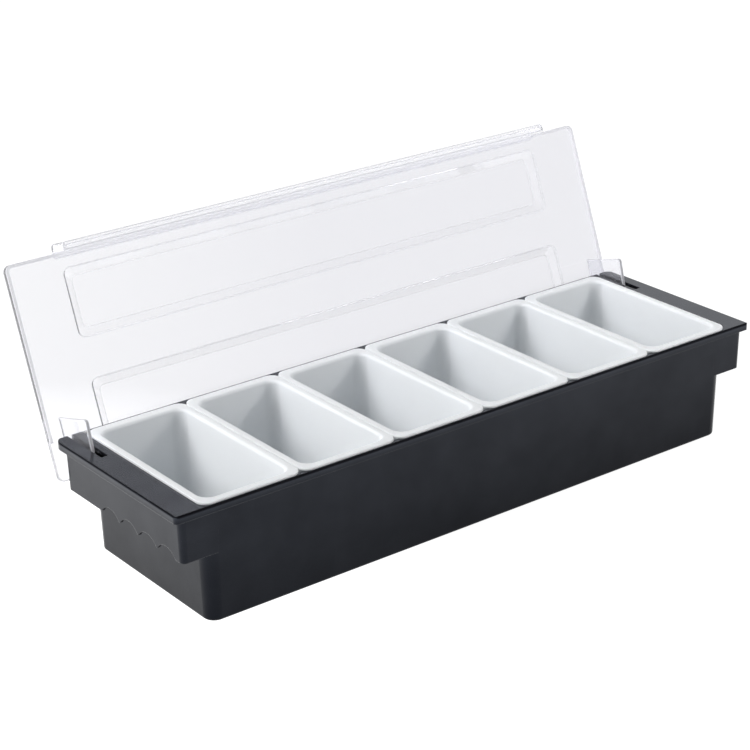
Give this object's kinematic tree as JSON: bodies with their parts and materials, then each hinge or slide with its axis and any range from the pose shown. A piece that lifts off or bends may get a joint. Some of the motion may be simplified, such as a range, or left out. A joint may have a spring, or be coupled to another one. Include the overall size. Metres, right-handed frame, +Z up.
{
  "type": "condiment caddy",
  "caption": "Bar condiment caddy: a black base tray with lift-out white inserts in a row and a clear hinged flip lid, shown open.",
  "frame": {"origin": "middle of the deck's length and width, on the flat underside", "axes": "+X along the length, +Y towards the hinge at the back, +Z up"},
  "size_m": [0.495, 0.2028, 0.2],
  "materials": {
    "base": "glossy black moulding",
    "insert": "soft white translucent moulding",
    "lid": "clear polished moulding"
  },
  "bodies": {
    "base": {"base": "base"},
    "lid": {"lid": "lid"},
    "insert_1": {"insert_1": "insert"},
    "insert_2": {"insert_2": "insert"},
    "insert_3": {"insert_3": "insert"},
    "insert_4": {"insert_4": "insert"},
    "insert_5": {"insert_5": "insert"},
    "insert_6": {"insert_6": "insert"}
  },
  "joints": [
    {"name": "lid_hinge", "type": "hinge", "parent": "base", "child": "lid", "pos_m": [0, 0.0588, 0.0722], "axis": [-1, 0, 0], "range_deg": [-111, 0]},
    {"name": "insert_1_lift", "type": "slide", "parent": "base", "child": "insert_1", "axis": [0, 0, 1], "range_m": [0, 0.08]},
    {"name": "insert_2_lift", "type": "slide", "parent": "base", "child": "insert_2", "axis": [0, 0, 1], "range_m": [0, 0.08]},
    {"name": "insert_3_lift", "type": "slide", "parent": "base", "child": "insert_3", "axis": [0, 0, 1], "range_m": [0, 0.08]},
    {"name": "insert_4_lift", "type": "slide", "parent": "base", "child": "insert_4", "axis": [0, 0, 1], "range_m": [0, 0.08]},
    {"name": "insert_5_lift", "type": "slide", "parent": "base", "child": "insert_5", "axis": [0, 0, 1], "range_m": [0, 0.08]},
    {"name": "insert_6_lift", "type": "slide", "parent": "base", "child": "insert_6", "axis": [0, 0, 1], "range_m": [0, 0.08]}
  ]
}
